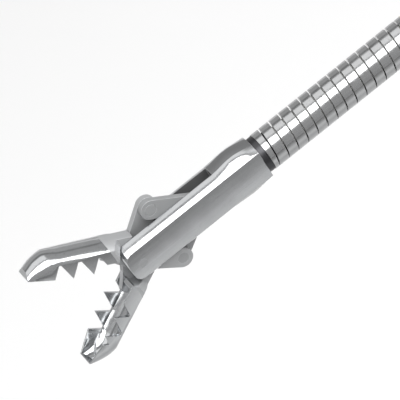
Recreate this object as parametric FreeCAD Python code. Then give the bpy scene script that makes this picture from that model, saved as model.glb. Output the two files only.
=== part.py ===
import FreeCAD, Part
import math
import os

# Working end of flexible biopsy forceps with alligator jaws.
# Millimetres. +X runs along the shaft towards the user, and the jaws point to -X.
# +Z is the side that the upper jaw opens to. The near side of the photo is -Y.
# The origin is the centre of the end ferrule's rear face. The jaws are modelled open, their rest pose.

# Clearances
running_gap = 0.012
side_gap = 0.015
free_gap = 0.06

# Shaft: flat wire wound close, over a liner
coil_radius = 0.90
coil_wire_thickness = 0.20
coil_pitch = 0.534
coil_seam = 0.065
coil_length = 9.716
coil_start_turn = 260.1
liner_radius = 0.62
liner_wall = 0.14

# End ferrule on the shaft's rear end
ferrule_radius = 1.00
ferrule_length = 2.40
ferrule_seat = 0.67
ferrule_chamfer = 0.12

# Neck collar between the coil and the fork
collar_radius = 0.87
collar_length = 0.30
collar_front_spigot_radius = 0.62
collar_front_spigot_length = 0.70
collar_rear_spigot_length = 0.80

# Fork
fork_length = 7.30
fork_front_radius = 1.06
fork_bulge_radius = 1.18
fork_rear_radius = 0.955
fork_nose_radius = 0.80
fork_nose_length = 0.36
fork_nose_steps = 3
fork_bulge_start = 2.10
fork_bulge_crest = 1.10
bulge_steps = 3
fork_flat_half = 0.83
flat_crown_radius = 6.0
slot_width = 0.65
slot_end_from_rear = 2.10
inner_bore_radius = 0.53
pivot_from_nose = 0.62
pivot_radius = 0.20

# Jaws, measured from the pivot towards the tip, closed
open_angle = 32.0
cup_root_radius = 1.13
cup_front_radius = 1.03
cup_flat_half = 0.79
cup_wall = 0.19
cup_rim = 0.06
cup_bevel_depth = 0.50
nose_start = 3.54
nose_top = 1.165
nose_arc_radius = 1.91
nose_side_taper = 0.27
nose_front = 5.12
nose_steps = 5
hollow_nose_steps = 3
cavity_start = 1.30
neck_start = 0.30
neck_end = 1.75
shoulder_gap = 0.04
shoulder_start = 1.00
shoulder_bevel = 0.42

# Teeth of one rim, and the other rim half a pitch on
tooth_pitch = 0.93
tooth_height = 0.71
tooth_overhang = 0.09
tooth_back_run = 0.21
tooth_front_run = 0.57
first_tooth = 2.243
lip_start = 4.02
land_end = 1.64
land_height = 0.23
other_land_end = 1.99
other_land_height = 0.06
rim_gap = 0.012

# Tangs, links and crosshead
hub_radius = 0.58
tang_length = 2.215
tang_angle = 44.2
tang_end_radius = 0.45
link_length = 2.78
link_rear_radius = 0.34
link_rear_thickness = 0.17
link_rear_clear = 0.46
rivet_radius = 0.26
crosshead_pin_radius = 0.09
link_eye_play = 0.095
crosshead_half_height = 0.28
crosshead_blade_length = 0.54
crosshead_shank_radius = 0.25
crosshead_shank_length = 0.38

# Pull rod and wire
rod_radius = 0.15
rod_length = 5.40
rod_seat = 0.34
wire_radius = 0.12
wire_past_ferrule = 1.80
sleeve_radius = 0.26
sleeve_length = 1.60
stop_radius = 0.34
stop_length = 0.90
stop_seat = 0.84
stop_chamfer = 0.06

# Places along X that follow from the sizes above
coil_rear = -(ferrule_length - ferrule_seat)
coil_front = coil_rear - coil_length
fork_rear = coil_front - collar_length
fork_front = fork_rear - fork_length
pivot_x = fork_front + pivot_from_nose
slot_end = fork_rear - slot_end_from_rear
coil_inner_radius = coil_radius - coil_wire_thickness
layer = slot_width / 2 - side_gap
shoulder_reach = fork_front_radius + shoulder_gap
tang_rise = tang_length * math.sin(math.radians(tang_angle))
tang_run = tang_length * math.cos(math.radians(tang_angle))
crosshead_x = pivot_x + tang_run + math.sqrt(link_length ** 2 - tang_rise ** 2)

X_AXIS = FreeCAD.Vector(1, 0, 0)
Y_AXIS = FreeCAD.Vector(0, 1, 0)
Z_AXIS = FreeCAD.Vector(0, 0, 1)
BIG = 20.0


def at(x, y, z):
    return FreeCAD.Vector(x, y, z)


def along_x(radius, x_from, x_to):
    """A round bar about the X axis."""
    return Part.makeCylinder(radius, x_to - x_from, at(x_from, 0, 0), X_AXIS)


def cone_along_x(radius_from, radius_to, x_from, x_to):
    return Part.makeCone(radius_from, radius_to, x_to - x_from, at(x_from, 0, 0), X_AXIS)


def along_y(radius, y_from, y_to, x=0.0, z=0.0):
    """A round bar parallel to the Y axis."""
    return Part.makeCylinder(radius, y_to - y_from, at(x, y_from, z), Y_AXIS)


def block(x_range, y_range, z_range):
    size = [high - low for low, high in (x_range, y_range, z_range)]
    return Part.makeBox(size[0], size[1], size[2], at(x_range[0], y_range[0], z_range[0]))


def plate(points, y_from, y_to):
    """A flat plate between two y values, from its outline in x and z."""
    wire = Part.makePolygon([at(x, y_from, z) for x, z in points + points[:1]])
    return Part.Face(wire).extrude(at(0, y_to - y_from, 0))


def turned(points):
    """A solid of revolution about X from points of x and radius that start and end on the axis."""
    corners = [at(x, 0, radius) for x, radius in points]
    face = Part.Face(Part.makePolygon(corners + corners[:1]))
    return face.revolve(at(0, 0, 0), X_AXIS, 360)


def bar_between(radius_a, x_a, z_a, radius_b, x_b, z_b, y_from, y_to):
    """A flat bar with two round ends and straight flanks that touch both rounds."""
    run, rise = x_b - x_a, z_b - z_a
    distance = math.hypot(run, rise)
    heading = math.atan2(rise, run)
    lean = math.acos((radius_a - radius_b) / distance)
    corners = []
    for centre_x, centre_z, radius, side in (
        (x_a, z_a, radius_a, 1),
        (x_b, z_b, radius_b, 1),
        (x_b, z_b, radius_b, -1),
        (x_a, z_a, radius_a, -1),
    ):
        angle = heading + side * lean
        corners.append((centre_x + radius * math.cos(angle), centre_z + radius * math.sin(angle)))
    web = plate(corners, y_from, y_to)
    ends = [along_y(radius_a, y_from, y_to, x_a, z_a), along_y(radius_b, y_from, y_to, x_b, z_b)]
    return web.multiFuse(ends).removeSplitter()


def turned_over(shape):
    """The other one of a pair: half a turn about the X axis."""
    copy = shape.copy()
    copy.rotate(at(0, 0, 0), X_AXIS, 180)
    return copy


# Shaft


def shaft_coil():
    """Flat wire wound close in a left-handed helix, with both ends ground square."""
    half_width = (coil_pitch - coil_seam) / 2
    corners = [
        (coil_inner_radius, -half_width),
        (coil_inner_radius, half_width),
        (coil_radius, half_width),
        (coil_radius, -half_width),
    ]
    section = Part.makePolygon([at(y, 0, z) for y, z in corners + corners[:1]])
    path = Part.makeLongHelix(coil_pitch, coil_length + 2 * coil_pitch, coil_radius, 0, True)
    strip = Part.Wire(path.Edges).makePipeShell([section], True, True)
    strip.rotate(at(0, 0, 0), Z_AXIS, coil_start_turn)
    strip.rotate(at(0, 0, 0), Y_AXIS, 90)
    strip.translate(at(coil_front - coil_pitch, 0, 0))
    return strip.common(block((coil_front, coil_rear), (-BIG, BIG), (-BIG, BIG)))


def shaft_liner():
    tube = along_x(liner_radius, coil_front + collar_rear_spigot_length, coil_rear)
    return tube.cut(along_x(liner_radius - liner_wall, coil_front, coil_rear + 1))


def end_ferrule():
    front = -ferrule_length
    lead = cone_along_x(coil_radius + free_gap, ferrule_radius, front, front + ferrule_chamfer)
    body = along_x(ferrule_radius, front + ferrule_chamfer, 0).fuse(lead).removeSplitter()
    body = body.cut(along_x(coil_radius + running_gap, front - 1, coil_rear))
    return body.cut(along_x(wire_radius + free_gap, coil_rear - 1, 1))


def neck_collar():
    spigots = [
        along_x(collar_front_spigot_radius, fork_rear - collar_front_spigot_length, fork_rear),
        along_x(coil_inner_radius, coil_front, coil_front + collar_rear_spigot_length),
    ]
    body = along_x(collar_radius, fork_rear, coil_front).multiFuse(spigots).removeSplitter()
    return body.cut(along_x(rod_radius + free_gap, fork_rear - BIG, coil_front + BIG))


# Fork


def between_flats(half):
    """All that lies between two slightly crowned flats, near and far."""
    bars = []
    for side in (-1, 1):
        axis_y = side * (half - flat_crown_radius)
        bars.append(Part.makeCylinder(flat_crown_radius, 2 * BIG, at(-2 * BIG, axis_y, 0), X_AXIS))
    return bars[0].common(bars[1])


def fork_arms():
    """The straight front stretch, turned with a rounded nose."""
    bulge_x = fork_rear - fork_bulge_start
    points = [(fork_front, 0)]
    for step in range(fork_nose_steps + 1):
        angle = math.pi / 2 * step / fork_nose_steps
        x = fork_front + fork_nose_length * (1 - math.cos(angle))
        points.append((x, fork_nose_radius + (fork_front_radius - fork_nose_radius) * math.sin(angle)))
    points += [(bulge_x, fork_front_radius), (bulge_x, 0)]
    return turned(points).common(between_flats(fork_flat_half))


def flat_corner():
    """Where a crowned flat meets the round of the arms, as y and z."""
    centre = flat_crown_radius - fork_flat_half
    y = (flat_crown_radius ** 2 - centre ** 2 - fork_front_radius ** 2) / (2 * centre)
    return y, math.sqrt(fork_front_radius ** 2 - y ** 2)


def fork_section(x, crown):
    """A section with the flats of the arms, and a top and bottom that reach the crown height."""
    y, z = flat_corner()
    rounds = [
        ((-y, z), (0, crown), (y, z)),
        ((y, z), (fork_flat_half, 0), (y, -z)),
        ((y, -z), (0, -crown), (-y, -z)),
        ((-y, -z), (-fork_flat_half, 0), (-y, z)),
    ]
    return Part.Wire([Part.Arc(*[at(x, *point) for point in points]).toShape() for points in rounds])


def fork_bulge():
    """The rear stretch, whose top and bottom swell between edges that stay straight."""
    rise = fork_bulge_radius - fork_front_radius
    fall = fork_bulge_radius - fork_rear_radius
    start_x = fork_rear - fork_bulge_start
    crest_x = fork_rear - fork_bulge_crest
    sections = []
    for step in range(bulge_steps):
        share = step / bulge_steps
        height = fork_front_radius + rise * (1 - math.cos(math.pi * share)) / 2
        sections.append(fork_section(start_x + share * (crest_x - start_x), height))
    for step in range(bulge_steps + 1):
        share = step / bulge_steps
        height = fork_bulge_radius - fall * (1 - math.cos(math.pi / 2 * share))
        sections.append(fork_section(crest_x + share * fork_bulge_crest, height))
    return Part.makeLoft(sections, True, False)


def fork():
    body = fork_arms().fuse(fork_bulge())
    half = slot_width / 2
    body = body.cut(block((fork_front - 1, slot_end), (-half, half), (-BIG, BIG)))
    body = body.cut(along_x(inner_bore_radius, slot_end - 0.1, fork_rear + 1))
    spigot_x = fork_rear - collar_front_spigot_length
    body = body.cut(along_x(collar_front_spigot_radius, spigot_x, fork_rear + 1))
    return body.cut(along_y(pivot_radius, -BIG, BIG, pivot_x, 0))


def jaw_pivot():
    return along_y(pivot_radius, -fork_flat_half, fork_flat_half, pivot_x, 0)


# Jaw in its own frame: pivot at the origin, mating plane z = 0, tip towards -X


def cup_form(inset, steps):
    """The form that a jaw is cut from: a slow taper with a blunt, rounded nose."""
    taper = Part.makeCone(
        cup_root_radius - inset,
        cup_front_radius - inset - (cup_root_radius - cup_front_radius),
        2 * nose_start,
        at(0, 0, 0),
        at(-1, 0, 0),
    )
    before_nose = block((-nose_start, BIG), (-BIG, BIG), (-BIG, BIG))
    return taper.common(before_nose.fuse(nose_form(inset, steps)))


def nose_form(inset, steps):
    """The nose: its top falls along an arc, its sides draw in evenly, and its front is blunt."""
    sections = []
    for step in range(steps + 1):
        reach = nose_start + (nose_front - inset - nose_start) * step / steps
        fall = nose_arc_radius - math.sqrt(nose_arc_radius ** 2 - (reach - nose_start) ** 2)
        top = nose_top - inset - fall
        side = cup_flat_half - inset - nose_side_taper * (reach - lip_start)
        left, right = at(-reach, -side, 0), at(-reach, side, 0)
        over = Part.Arc(left, at(-reach, 0, top), right)
        under = Part.Arc(right, at(-reach, 0, -top), left)
        sections.append(Part.Wire([over.toShape(), under.toShape()]))
    return Part.makeLoft(sections, True, False)


def rim_outline(first_apex, land_to, land_z):
    """The edge of one side of the cup, as points of distance from the pivot and height."""
    valley = tooth_height - tooth_overhang
    front_rate = tooth_height / tooth_front_run
    back_rate = tooth_height / tooth_back_run
    points = [(0, land_z), (land_to, land_z), (land_to + (valley - land_z) / front_rate, valley)]
    apex = first_apex
    while apex < lip_start - tooth_back_run:
        points += [(apex - tooth_back_run, valley), (apex, -tooth_overhang)]
        notch = (rim_gap + back_rate * lip_start + tooth_overhang + front_rate * apex) / (back_rate + front_rate)
        depth = min(valley, front_rate * (notch - apex) - tooth_overhang)
        points.append((apex + (depth + tooth_overhang) / front_rate, depth))
        apex += tooth_pitch
    points.append((lip_start - (depth - rim_gap) / back_rate, depth))
    return points + [(lip_start, rim_gap), (nose_front + 1, rim_gap)]


def below_rim(points, y_from, y_to):
    outline = [(-reach, z) for reach, z in points]
    outline += [(-nose_front - 1, -BIG), (0, -BIG)]
    return plate(outline, y_from, y_to)


def cup_cavity():
    """The hollow of the cup, and the bevel that makes its rims and teeth sharp."""
    floor_y = cup_flat_half - cup_wall
    rim_y = cup_flat_half - cup_rim
    hollow = cup_form(cup_wall, hollow_nose_steps).common(
        block((-nose_front, -cavity_start), (-floor_y, floor_y), (-BIG, BIG)))
    slope = (rim_y - floor_y) / cup_bevel_depth
    low = -2 * tooth_overhang
    corners = [
        (-rim_y + slope * low, low),
        (rim_y - slope * low, low),
        (floor_y, cup_bevel_depth),
        (-floor_y, cup_bevel_depth),
    ]
    section = Part.makePolygon([at(-nose_front, y, z) for y, z in corners + corners[:1]])
    bevel = Part.Face(section).extrude(at(nose_front - cavity_start, 0, 0))
    return hollow.fuse(bevel.common(cup_form(cup_rim, hollow_nose_steps)))


def jaw_cup():
    body = cup_form(0, nose_steps)
    body = body.common(between_flats(cup_flat_half))
    body = body.common(block((-nose_front - 1, -neck_start), (-BIG, BIG), (-tooth_overhang, BIG)))
    body = body.cut(cup_cavity())
    near_rim = rim_outline(first_tooth, land_end, land_height)
    far_rim = rim_outline(first_tooth + tooth_pitch / 2, other_land_end, other_land_height)
    body = body.cut(below_rim(near_rim, -BIG, 0))
    return body.cut(below_rim(far_rim, 0, BIG))


def jaw_relief():
    """Room beside the neck for the fork's two cheeks, from open to closed."""
    pieces = []
    for side in (-1, 1):
        near, far = sorted((side * layer, side * BIG))
        pieces.append(along_y(shoulder_reach, near, far))
        plan = [
            at(-shoulder_start, side * cup_flat_half, -BIG),
            at(-shoulder_start + shoulder_bevel, side * layer, -BIG),
            at(BIG, side * layer, -BIG),
            at(BIG, side * BIG, -BIG),
            at(-shoulder_start, side * BIG, -BIG),
        ]
        wedge = Part.Face(Part.makePolygon(plan + plan[:1])).extrude(at(0, 0, 2 * BIG))
        wedge.rotate(at(-shoulder_start, 0, land_height), Y_AXIS, -open_angle)
        pieces.append(wedge)
    return pieces


def jaw_neck(near, far):
    """The web that joins the cup to the hub, inside one half of the slot."""
    outline = [
        (-neck_end, land_height),
        (-neck_end, BIG),
        (-neck_start, BIG),
        (-neck_start, hub_radius * 1.75),
        (0, hub_radius),
        (0, -hub_radius),
        (-hub_radius * 0.6, -hub_radius * 0.8),
        (-shoulder_reach, side_gap - other_land_height),
    ]
    return plate(outline, near, far).common(cup_form(0, nose_steps))


def jaw_closed():
    """One jaw with its neck and tang. Its tang lies in the near half of the slot."""
    near, far = -layer, -side_gap
    cup = jaw_cup()
    for piece in jaw_relief():
        cup = cup.cut(piece)
    cup = cup.cut(along_y(shoulder_reach, far, BIG))
    rivet_x, rivet_z = tang_place(tang_angle - open_angle)
    hub = along_y(hub_radius, near, far)
    tang = bar_between(hub_radius, 0, 0, tang_end_radius, rivet_x, rivet_z, near, far)
    body = cup.multiFuse([jaw_neck(near, far), hub, tang]).removeSplitter()
    body = body.cut(along_y(pivot_radius + running_gap, -BIG, BIG))
    return body.cut(rivet_solid(rivet_x, rivet_z, 0))


def tang_place(angle):
    """The rivet's place on the upper jaw, from the pivot, with the tang at an angle below the axis."""
    swing = math.radians(angle)
    return tang_length * math.cos(swing), -tang_length * math.sin(swing)


def rivet_solid(x, z, gap):
    """A rivet filed flush at both ends, or its hole where a gap is given."""
    return along_y(rivet_radius + gap, -layer, layer, x, z)


def upper_jaw():
    jaw = jaw_closed()
    jaw.rotate(at(0, 0, 0), Y_AXIS, open_angle)
    jaw.translate(at(pivot_x, 0, 0))
    return jaw


def upper_jaw_rivet():
    run, drop = tang_place(tang_angle)
    return rivet_solid(pivot_x + run, drop, 0)


# Links and crosshead, at rest


def upper_jaw_link():
    """From the upper jaw's tang, in the far half of the slot, back to the crosshead."""
    run, drop = tang_place(tang_angle)
    rivet_x = pivot_x + run
    body = bar_between(tang_end_radius, rivet_x, drop, link_rear_radius, crosshead_x, 0, side_gap, layer)
    body = body.cut(along_y(link_rear_clear, 0, layer - link_rear_thickness, crosshead_x, 0))
    body = body.cut(rivet_solid(rivet_x, drop, running_gap))
    return body.cut(along_y(crosshead_pin_radius + link_eye_play, -BIG, BIG, crosshead_x, 0))


def crosshead():
    half = layer - link_rear_thickness - side_gap
    blade_end = crosshead_x + crosshead_blade_length
    blade = block((crosshead_x, blade_end), (-half, half), (-crosshead_half_height, crosshead_half_height))
    nose = along_y(crosshead_half_height, -half, half, crosshead_x, 0)
    shank_end = blade_end + crosshead_shank_length
    shank = along_x(crosshead_shank_radius, blade_end - free_gap, shank_end)
    body = blade.multiFuse([nose, shank]).removeSplitter()
    body = body.cut(along_x(rod_radius, shank_end - rod_seat, shank_end + 1))
    return body.cut(along_y(crosshead_pin_radius, -BIG, BIG, crosshead_x, 0))


def crosshead_pin():
    return along_y(crosshead_pin_radius, -layer, layer, crosshead_x, 0)


# Pull rod, wire and their crimps, at rest


def rod_ends():
    front = crosshead_x + crosshead_blade_length + crosshead_shank_length - rod_seat
    return front, front + rod_length


def pull_rod():
    front, rear = rod_ends()
    return along_x(rod_radius, front, rear)


def pull_wire():
    return along_x(wire_radius, rod_ends()[1], wire_past_ferrule)


def crimp_sleeve():
    joint = rod_ends()[1]
    body = along_x(sleeve_radius, joint - sleeve_length / 2, joint + sleeve_length / 2)
    body = body.cut(along_x(rod_radius, joint - sleeve_length, joint))
    return body.cut(along_x(wire_radius, joint - running_gap, joint + sleeve_length))


def wire_stop():
    front = wire_past_ferrule - stop_seat
    rear = front + stop_length
    body = along_x(stop_radius, front, rear - stop_chamfer)
    body = body.fuse(cone_along_x(stop_radius, stop_radius - stop_chamfer, rear - stop_chamfer, rear))
    return body.removeSplitter().cut(along_x(wire_radius, front - 1, wire_past_ferrule))


PARTS = {
    "fork": fork,
    "jaw_pivot": jaw_pivot,
    "neck_collar": neck_collar,
    "shaft_coil": shaft_coil,
    "shaft_liner": shaft_liner,
    "end_ferrule": end_ferrule,
    "upper_jaw": upper_jaw,
    "upper_jaw_rivet": upper_jaw_rivet,
    "upper_jaw_link": upper_jaw_link,
    "crosshead": crosshead,
    "crosshead_pin": crosshead_pin,
    "pull_rod": pull_rod,
    "crimp_sleeve": crimp_sleeve,
    "pull_wire": pull_wire,
    "wire_stop": wire_stop,
}

# The lower jaw, its rivet and its link are the upper ones turned over
TURNED_OVER = {
    "upper_jaw": "lower_jaw",
    "upper_jaw_rivet": "lower_jaw_rivet",
    "upper_jaw_link": "lower_jaw_link",
}

os.makedirs("parts", exist_ok=True)
for name, make in PARTS.items():
    shape = make()
    shape.exportStep("parts/" + name + ".step")
    if name in TURNED_OVER:
        turned_over(shape).exportStep("parts/" + TURNED_OVER[name] + ".step")
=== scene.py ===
import bpy
import math
from mathutils import Matrix, Vector


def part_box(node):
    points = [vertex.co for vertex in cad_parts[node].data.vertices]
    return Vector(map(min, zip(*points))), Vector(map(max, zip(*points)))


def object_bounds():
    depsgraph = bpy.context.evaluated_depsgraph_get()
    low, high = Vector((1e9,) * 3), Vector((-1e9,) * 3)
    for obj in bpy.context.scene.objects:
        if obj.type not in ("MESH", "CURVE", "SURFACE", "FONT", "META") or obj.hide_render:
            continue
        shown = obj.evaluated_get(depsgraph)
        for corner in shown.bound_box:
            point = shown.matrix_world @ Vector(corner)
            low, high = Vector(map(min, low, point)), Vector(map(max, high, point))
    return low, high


# Biopsy forceps, working end. Metres, in the CAD frame: +X runs along the shaft away from the jaws,
# +Z is the upper jaw's side and the photograph was taken from the -Y side.

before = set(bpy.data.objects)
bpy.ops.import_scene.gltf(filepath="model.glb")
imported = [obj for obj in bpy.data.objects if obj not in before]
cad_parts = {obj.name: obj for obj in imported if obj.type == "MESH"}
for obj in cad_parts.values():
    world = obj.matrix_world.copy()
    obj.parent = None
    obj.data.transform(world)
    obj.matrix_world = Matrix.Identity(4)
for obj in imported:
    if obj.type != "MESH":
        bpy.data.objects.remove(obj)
cad_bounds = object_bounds()

MM = 0.001
MICRON = 0.001 * MM

# Places read from the frame
fork_low, fork_high = [Vector(corner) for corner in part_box("fork")]
pivot_low, pivot_high = [Vector(corner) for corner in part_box("jaw_pivot")]
rivet_low, rivet_high = [Vector(corner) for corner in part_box("upper_jaw_rivet")]
PIVOT_X = (pivot_low.x + pivot_high.x) / 2
LAYERS_HALF = rivet_high.y + 2 * MICRON

# Camera, fitted to the photograph. The point it looks at lies behind the fork's middle.
LOOK_AT = Vector(((fork_low.x + fork_high.x) / 2, 0, 0)) + Vector((0.576, 0.05, 0.06)) * MM
CAMERA_DISTANCE = 130 * MM
CAMERA_ELEVATION = math.radians(37.5)
CAMERA_TILT = math.radians(5.7)
SHAFT_ANGLE_IN_PHOTO = math.radians(38.6)
VIEW_WIDTH = 16.96 * MM
NEAREST_SEEN = 0.1 * CAMERA_DISTANCE
FARTHEST_SEEN = 10

# Lamps. Their elevation is an angle about the shaft, from the near horizon over the top.
LAMP_DISTANCE = 300 * MM
LAMP_SPREAD = math.radians(34)
LAMP_FRONT = -300 * MM
KEY_LAMP = {"elevation": math.radians(55), "rear": 900 * MM, "level": 3.6}
TOP_LAMP = {"elevation": math.radians(100), "rear": 150 * MM, "level": 0.72}

# Floor, with its grey by place along Y, in metres, from behind the camera to beyond the object. The darker
# greys on the camera's side are painted shade, which the flats mirror.
FLOOR_DROP = 80 * MM
FLOOR_HALF = 3.0
FLOOR_SHADE_TONES = (
    (-0.50, 0.90),
    (-0.26, 0.26),
    (-0.176, 0.235),
    (-0.108, 0.43),
    (-0.07, 0.68),
    (-0.03, 0.50),
    (0.02, 0.62),
    (0.06, 0.99),
)
# Grey of the room by angle about the shaft, in degrees from the near horizon
ROOM_TONES = (
    (-90, 0.55),
    (-10, 0.48),
    (20, 0.46),
    (118, 0.46),
    (127, 0.26),
    (133, 0.28),
    (139, 0.50),
    (168, 0.48),
    (176, 0.90),
    (186, 0.90),
    (196, 0.55),
    (270, 0.55),
)

# Milled walls in the slot are left dull: half the width, the front and the rear of the stretch, and its grey
FORK_SLOT = {
    "half": LAYERS_HALF + 15 * MICRON,
    "front": fork_low.x,
    "rear": fork_high.x,
    "colour": (0.17, 0.172, 0.175),
}
JAW_SLOT = {
    "half": 2 * MM,
    "front": PIVOT_X - 0.85 * MM,
    "rear": fork_high.x,
    "colour": (0.46, 0.467, 0.475),
}
LINK_SLOT = {
    "half": LAYERS_HALF,
    "front": fork_low.x,
    "rear": fork_high.x,
    "colour": (0.39, 0.397, 0.403),
}
DULL_ROUGHNESS = 0.48
DULL_METAL = 0.5

# Steels: grain is the lines per millimetre along X, Y and Z, or along, round and out from the shaft
# A seam tone is the share of a steel's colour left in its seams and corners, as painted shade
STEELS = {
    "fork_steel": {
        "colour": (0.55, 0.56, 0.57),
        "roughness": 0.15,
        "grain": (0.5, 6, 6),
        "relief": 2.0 * MICRON,
        "slot": FORK_SLOT,
    },
    "jaw_steel": {
        "colour": (0.56, 0.57, 0.58),
        "roughness": 0.14,
        "grain": (0.6, 6, 6),
        "relief": 2.0 * MICRON,
        "slot": JAW_SLOT,
    },
    "link_steel": {
        "colour": (0.56, 0.57, 0.58),
        "roughness": 0.24,
        "grain": (1.5, 9, 7),
        "relief": 2.0 * MICRON,
        "slot": LINK_SLOT,
    },
    "pin_steel": {
        "colour": (0.55, 0.56, 0.57),
        "roughness": 0.20,
        "grain": (9, 9, 9),
        "relief": 1.0 * MICRON,
        "slot": LINK_SLOT,
    },
    "pivot_steel": {
        "colour": (0.55, 0.56, 0.57),
        "roughness": 0.15,
        "grain": (0.5, 6, 6),
        "relief": 2.0 * MICRON,
        "easing": 0.0,
    },
    "coil_steel": {
        "colour": (0.53, 0.535, 0.54),
        "roughness": 0.16,
        "grain": (7, 0.7, 3),
        "relief": 1.5 * MICRON,
        "around": True,
        "seam_shade_tone": 0.3,
    },
    "ferrule_steel": {
        "colour": (0.55, 0.56, 0.57),
        "roughness": 0.18,
        "grain": (12, 0.4, 2),
        "relief": 2.0 * MICRON,
        "around": True,
    },
    "collar_metal": {
        "colour": (0.085, 0.085, 0.09),
        "roughness": 0.34,
        "grain": (12, 1, 3),
        "relief": 1.5 * MICRON,
        "around": True,
        "seam_shade_tone": 0.4,
    },
    "wire_steel": {
        "colour": (0.54, 0.54, 0.55),
        "roughness": 0.22,
        "grain": (0.8, 14, 14),
        "relief": 1.5 * MICRON,
    },
}

# What all steels share. Noise is in features per metre, and reaches are in metres.
CLOUD_SCALE = 1.3 / MM
SPECK_SCALE = 9.0 / MM
LINES_SHARE = 0.6
CLOUDS_SHARE = 0.4
SMOOTHEST = 0.75
ROUGHEST = 1.35
DARKEST_CLOUD = 0.95
LIGHTEST_CLOUD = 1.04
SPECK_TONE = 0.72
SPECK_STRENGTH = 0.35
# Painted shade: steel darkens where the occlusion node finds other surfaces within this reach, in seams and
# corners
SEAM_SHADE_REACH = 0.10 * MM
EDGE_EASING = 0.03 * MM
WORN_TONE = 1.3
WORN_ROUGHNESS = 0.12

# Liner of milky fluoropolymer
LINER_DARK = (0.80, 0.80, 0.77)
LINER_PALE = (0.90, 0.90, 0.88)
LINER_CLOUD_SCALE = 2.0 / MM
LINER_GLOW = 0.1
LINER_GLOW_REACH = 0.3 * MM
LINER_RELIEF = 3 * MICRON

NODE_FINISH = {
    "fork": "fork_steel",
    "jaw_pivot": "pivot_steel",
    "neck_collar": "collar_metal",
    "shaft_coil": "coil_steel",
    "shaft_liner": "liner_plastic",
    "end_ferrule": "ferrule_steel",
    "upper_jaw": "jaw_steel",
    "lower_jaw": "jaw_steel",
    "upper_jaw_rivet": "pin_steel",
    "lower_jaw_rivet": "pin_steel",
    "upper_jaw_link": "link_steel",
    "lower_jaw_link": "link_steel",
    "crosshead": "link_steel",
    "crosshead_pin": "pin_steel",
    "pull_rod": "wire_steel",
    "crimp_sleeve": "link_steel",
    "pull_wire": "wire_steel",
    "wire_stop": "ferrule_steel",
}

# The jaws' noses are short flat steps in the CAD, and turn less than this from one to the next
ROUNDED_NODES = ("upper_jaw", "lower_jaw")
ROUNDED_BELOW = math.radians(32)
JOIN_DISTANCE = 0.0005 * MM


class Graph:
    """Short calls for the shader nodes of one node tree."""

    def __init__(self, tree):
        self.nodes = tree.nodes
        self.links = tree.links

    def plug(self, source, socket):
        """An output is linked to the socket, and a number or colour is set on it."""
        if isinstance(source, bpy.types.NodeSocket):
            self.links.new(source, socket)
        else:
            socket.default_value = source

    def coordinate(self, name):
        return self.nodes.new("ShaderNodeTexCoord").outputs[name]

    def maths(self, operation, *values):
        node = self.nodes.new("ShaderNodeMath")
        node.operation = operation
        for value, socket in zip(values, node.inputs):
            self.plug(value, socket)
        return node.outputs[0]

    def span(self, value, low, high, to_low=0.0, to_high=1.0):
        """The value carried from one range to another, and held at its ends."""
        node = self.nodes.new("ShaderNodeMapRange")
        for source, socket in zip((value, low, high, to_low, to_high), node.inputs):
            self.plug(source, socket)
        return node.outputs["Result"]

    def axes(self, vector):
        node = self.nodes.new("ShaderNodeSeparateXYZ")
        self.links.new(vector, node.inputs[0])
        return node.outputs

    def vector(self, x, y, z):
        node = self.nodes.new("ShaderNodeCombineXYZ")
        for source, socket in zip((x, y, z), node.inputs):
            self.plug(source, socket)
        return node.outputs[0]

    def stretched(self, vector, scale):
        node = self.nodes.new("ShaderNodeMapping")
        self.links.new(vector, node.inputs["Vector"])
        node.inputs["Scale"].default_value = scale
        return node.outputs[0]

    def noise(self, vector, scale, detail):
        node = self.nodes.new("ShaderNodeTexNoise")
        self.links.new(vector, node.inputs["Vector"])
        node.inputs["Scale"].default_value = scale
        node.inputs["Detail"].default_value = detail
        return node.outputs["Fac"]

    def mixed(self, amount, first, second):
        """A colour between two colours."""
        node = self.nodes.new("ShaderNodeMix")
        node.data_type = "RGBA"
        self.plug(amount, node.inputs["Factor"])
        for colour, name in ((first, "A"), (second, "B")):
            socket = [s for s in node.inputs if s.name == name and s.type == "RGBA"][0]
            self.plug((*colour, 1) if isinstance(colour, tuple) else colour, socket)
        return [s for s in node.outputs if s.type == "RGBA"][0]

    def tones(self, value, tones):
        """A grey that follows a value, from pairs of value and grey."""
        low, high = tones[0][0], tones[-1][0]
        ramp = self.nodes.new("ShaderNodeValToRGB")
        stops = ramp.color_ramp.elements
        while len(stops) < len(tones):
            stops.new(0.5)
        for stop, (place, tone) in zip(stops, tones):
            stop.position = (place - low) / (high - low)
            stop.color = (tone, tone, tone, 1)
        self.links.new(self.span(value, low, high), ramp.inputs["Fac"])
        return ramp.outputs["Color"]


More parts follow.
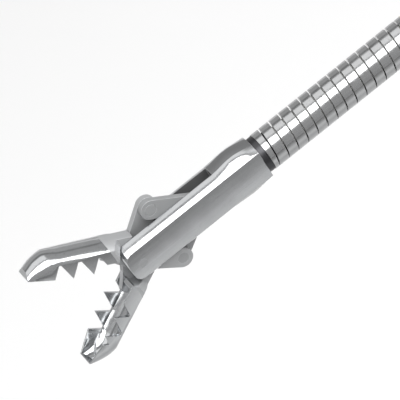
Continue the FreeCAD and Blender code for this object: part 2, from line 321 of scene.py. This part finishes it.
class Shade(Graph):
    """A new material on the principled shader."""

    def __init__(self, name):
        self.material = bpy.data.materials.new(name)
        self.material.use_nodes = True
        super().__init__(self.material.node_tree)
        self.shader = self.nodes["Principled BSDF"]
        self.place = self.coordinate("Object")

    def set(self, name, source):
        self.plug(source, self.shader.inputs[name])

    def place_round_shaft(self):
        """The place along the shaft, round it and out from it, for grain on a turned surface."""
        x, y, z = self.axes(self.place)
        turn = self.maths("ARCTAN2", z, y)
        y_squared = self.maths("MULTIPLY", y, y)
        z_squared = self.maths("MULTIPLY", z, z)
        radius = self.maths("SQRT", self.maths("ADD", y_squared, z_squared))
        return self.vector(x, self.maths("MULTIPLY", turn, MM), radius)

    def inside(self, slot):
        """1 within the slot's width and length, and 0 outside."""
        x, y, z = self.axes(self.place)
        across = self.maths("LESS_THAN", self.maths("ABSOLUTE", y), slot["half"])
        behind = self.maths("MULTIPLY", across, self.maths("GREATER_THAN", x, slot["front"]))
        return self.maths("MULTIPLY", behind, self.maths("LESS_THAN", x, slot["rear"]))

    def openness(self, reach):
        """1 in the open, falling to 0 in corners and seams narrower than the reach."""
        node = self.nodes.new("ShaderNodeAmbientOcclusion")
        node.samples = 8
        node.inputs["Distance"].default_value = reach
        return node.outputs["AO"]

    def eased(self, radius):
        """The surface's direction with its edges rounded by a radius."""
        node = self.nodes.new("ShaderNodeBevel")
        node.samples = 8
        node.inputs["Radius"].default_value = radius
        return node.outputs[0]

    def edge(self, eased):
        """0 on open faces, rising to 1 on edges, from the rounded direction."""
        facing = self.nodes.new("ShaderNodeNewGeometry").outputs["Normal"]
        node = self.nodes.new("ShaderNodeVectorMath")
        node.operation = "DOT_PRODUCT"
        self.links.new(eased, node.inputs[0])
        self.links.new(facing, node.inputs[1])
        return self.span(node.outputs["Value"], 0.995, 0.93)

    def relief(self, height, depth, eased=None):
        """Fine relief of a depth in metres, on the rounded direction if one is given."""
        node = self.nodes.new("ShaderNodeBump")
        node.inputs["Strength"].default_value = 1.0
        node.inputs["Distance"].default_value = depth
        self.links.new(height, node.inputs["Height"])
        if eased:
            self.links.new(eased, node.inputs["Normal"])
        self.set("Normal", node.outputs[0])


def times(colour, share):
    return tuple(share * c for c in colour)


def steel(name, colour, roughness, grain, relief, around=False, slot=None, easing=EDGE_EASING, seam_shade_tone=0.5):
    """Worked steel: grain, soft clouds, a few dark specks, dull slot walls, painted shade in seams and
    corners, and worn edges.
    """
    shade = Shade(name)
    start = shade.place_round_shaft() if around else shade.place
    lines = shade.noise(shade.stretched(start, [count / MM for count in grain]), 1.0, 4.0)
    clouds = shade.noise(shade.place, CLOUD_SCALE, 3.0)
    specks = shade.noise(shade.place, SPECK_SCALE, 2.0)

    lines_part = shade.maths("MULTIPLY", lines, LINES_SHARE)
    handled = shade.maths("ADD", lines_part, shade.maths("MULTIPLY", clouds, CLOUDS_SHARE))
    rough = shade.span(handled, 0.35, 0.65, roughness * SMOOTHEST, roughness * ROUGHEST)
    tone = shade.span(clouds, 0.3, 0.7)
    tone = shade.mixed(tone, times(colour, DARKEST_CLOUD), times(colour, LIGHTEST_CLOUD))
    spotted = shade.span(specks, 0.62, 0.74, 0.0, SPECK_STRENGTH)
    tone = shade.mixed(spotted, tone, times(colour, SPECK_TONE))

    metal = 1.0
    if slot:
        inside = shade.inside(slot)
        rough = shade.span(inside, 0.0, 1.0, rough, DULL_ROUGHNESS)
        metal = shade.span(inside, 0.0, 1.0, 1.0, DULL_METAL)
        tone = shade.mixed(inside, tone, slot["colour"])

    # Painted shade: the colour darkens in seams and corners, where the occlusion node finds other surfaces
    # near
    unshaded = shade.span(shade.openness(SEAM_SHADE_REACH), 0.25, 0.8)
    tone = shade.mixed(unshaded, times(colour, seam_shade_tone), tone)
    eased = shade.eased(easing)
    worn = shade.maths("MULTIPLY", shade.edge(eased), shade.span(clouds, 0.35, 0.6, 0.25, 0.9))
    tone = shade.mixed(worn, tone, times(colour, WORN_TONE))

    shade.set("Base Color", tone)
    shade.set("Metallic", metal)
    shade.set("Roughness", shade.maths("ADD", rough, shade.maths("MULTIPLY", worn, WORN_ROUGHNESS)))
    shade.relief(lines, relief, eased)
    return shade.material


def liner_plastic(name):
    """Milky fluoropolymer tube, a little cloudy."""
    shade = Shade(name)
    clouds = shade.noise(shade.place, LINER_CLOUD_SCALE, 3.0)
    shade.set("Base Color", shade.mixed(clouds, LINER_DARK, LINER_PALE))
    shade.set("Roughness", shade.span(clouds, 0.3, 0.7, 0.38, 0.55))
    shade.set("Subsurface Weight", LINER_GLOW)
    shade.set("Subsurface Radius", (LINER_GLOW_REACH, LINER_GLOW_REACH, LINER_GLOW_REACH))
    shade.relief(clouds, LINER_RELIEF)
    return shade.material


def dress_nodes():
    """Each CAD node gets its own finish."""
    materials = {name: steel(name, **looks) for name, looks in STEELS.items()}
    materials["liner_plastic"] = liner_plastic("liner_plastic")
    for node, finish in NODE_FINISH.items():
        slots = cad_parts[node].data.materials
        slots.clear()
        slots.append(materials[finish])


def shading_group():
    """Joins the faces and shades them as one curve wherever they turn by less than an angle."""
    group = bpy.data.node_groups.new("rounded_shading", "GeometryNodeTree")
    for way in ("INPUT", "OUTPUT"):
        group.interface.new_socket("Geometry", in_out=way, socket_type="NodeSocketGeometry")
    nodes, links = group.nodes, group.links
    start = nodes.new("NodeGroupInput")
    join = nodes.new("GeometryNodeMergeByDistance")
    join.inputs["Distance"].default_value = JOIN_DISTANCE
    plain = nodes.new("GeometryNodeRemoveAttribute")
    plain.inputs["Name"].default_value = "custom_normal"
    smooth_faces = nodes.new("GeometryNodeSetShadeSmooth")
    smooth_faces.domain = "FACE"
    smooth_edges = nodes.new("GeometryNodeSetShadeSmooth")
    smooth_edges.domain = "EDGE"
    bend = nodes.new("GeometryNodeInputMeshEdgeAngle")
    soft = nodes.new("FunctionNodeCompare")
    soft.operation = "LESS_THAN"
    soft.inputs["B"].default_value = ROUNDED_BELOW
    end = nodes.new("NodeGroupOutput")
    links.new(start.outputs[0], join.inputs["Geometry"])
    links.new(join.outputs["Geometry"], plain.inputs["Geometry"])
    links.new(plain.outputs["Geometry"], smooth_faces.inputs["Geometry"])
    links.new(smooth_faces.outputs["Geometry"], smooth_edges.inputs["Geometry"])
    links.new(bend.outputs["Unsigned Angle"], soft.inputs["A"])
    links.new(soft.outputs["Result"], smooth_edges.inputs["Shade Smooth"])
    links.new(smooth_edges.outputs["Geometry"], end.inputs[0])
    return group


def round_noses():
    """The steps of the jaws' noses are shaded as curves. No face moves."""
    group = shading_group()
    for node in ROUNDED_NODES:
        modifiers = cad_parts[node].modifiers
        modifiers.new("rounded_shading", "NODES").node_group = group
        weighted = modifiers.new("weighted_normals", "WEIGHTED_NORMAL")
        weighted.keep_sharp = True
        weighted.weight = 50


def place_at(obj, x_axis, y_axis, z_axis, place):
    """Puts an object in the scene, with its own axes turned to the given ones."""
    turn = Matrix((x_axis, y_axis, z_axis)).transposed().to_4x4()
    obj.matrix_world = Matrix.Translation(place) @ turn
    bpy.context.scene.collection.objects.link(obj)


def make_camera():
    """The camera stands on the near side, above the shaft and a little towards the jaws."""
    tilt, elevation = CAMERA_TILT, CAMERA_ELEVATION
    towards = Vector((
        -math.sin(tilt),
        -math.cos(tilt) * math.cos(elevation),
        math.cos(tilt) * math.sin(elevation),
    ))
    along_shaft = Vector((1, 0, 0)) - towards * towards.x
    along_shaft.normalize()
    above_shaft = towards.cross(along_shaft)
    cosine, sine = math.cos(SHAFT_ANGLE_IN_PHOTO), math.sin(SHAFT_ANGLE_IN_PHOTO)
    right = cosine * along_shaft - sine * above_shaft
    up = sine * along_shaft + cosine * above_shaft
    data = bpy.data.cameras.new("camera")
    data.lens = data.sensor_width / 2 / (VIEW_WIDTH / 2 / CAMERA_DISTANCE)
    data.clip_start = NEAREST_SEEN
    data.clip_end = FARTHEST_SEEN
    camera = bpy.data.objects.new("camera", data)
    place_at(camera, right, up, towards, LOOK_AT + towards * CAMERA_DISTANCE)
    bpy.context.scene.camera = camera


def make_softbox(name, elevation, rear, level):
    """A long soft lamp beside the shaft, at an angle about the shaft above the near horizon."""
    width = 2 * LAMP_DISTANCE * math.tan(LAMP_SPREAD / 2)
    length = rear - LAMP_FRONT
    data = bpy.data.lights.new(name, "AREA")
    data.shape = "RECTANGLE"
    data.size = length
    data.size_y = width
    data.energy = level * math.pi * length * width
    away = Vector((0, -math.cos(elevation), math.sin(elevation)))
    side = Vector((1, 0, 0))
    centre = LOOK_AT + away * LAMP_DISTANCE + side * (LAMP_FRONT + rear) / 2
    place_at(bpy.data.objects.new(name, data), side, away.cross(side), away, centre)


def make_world():
    """A grey studio room whose tone changes with the angle about the shaft."""
    world = bpy.data.worlds.new("studio")
    bpy.context.scene.world = world
    world.use_nodes = True
    graph = Graph(world.node_tree)
    x, y, z = graph.axes(graph.coordinate("Generated"))
    angle = graph.maths("ARCTAN2", z, graph.maths("MULTIPLY", y, -1))
    # The angle runs from -180 to 180, so the tones' far end is turned round to meet it
    first, last = ROOM_TONES[0][0], ROOM_TONES[-1][0]
    wrapped = graph.maths("WRAP", graph.maths("DEGREES", angle), last, first)
    graph.plug(graph.tones(wrapped, ROOM_TONES), graph.nodes["Background"].inputs["Color"])


def make_floor():
    """A plain matt floor, pale beyond the object and darker on the camera's side by painted shade, which the
    flats mirror.
    """
    z = cad_bounds[0][2] - FLOOR_DROP
    mesh = bpy.data.meshes.new("floor")
    corners = [(FLOOR_HALF * x, FLOOR_HALF * y, z) for x, y in ((-1, -1), (1, -1), (1, 1), (-1, 1))]
    mesh.from_pydata(corners, [], [(0, 1, 2, 3)])
    floor = bpy.data.objects.new("floor", mesh)
    bpy.context.scene.collection.objects.link(floor)
    material = bpy.data.materials.new("floor_paint")
    material.use_nodes = True
    graph = Graph(material.node_tree)
    graph.nodes.clear()
    out = graph.nodes.new("ShaderNodeOutputMaterial")
    paint = graph.nodes.new("ShaderNodeBsdfDiffuse")
    x, y, z = graph.axes(graph.coordinate("Object"))
    # Painted shade: the floor's grey darkens along Y towards the camera's side
    graph.plug(graph.tones(y, FLOOR_SHADE_TONES), paint.inputs["Color"])
    graph.plug(paint.outputs[0], out.inputs["Surface"])
    mesh.materials.append(material)


dress_nodes()
round_noses()
make_camera()
make_world()
make_softbox("key_softbox", **KEY_LAMP)
make_softbox("top_softbox", **TOP_LAMP)
make_floor()
bpy.context.scene.view_settings.view_transform = "Standard"
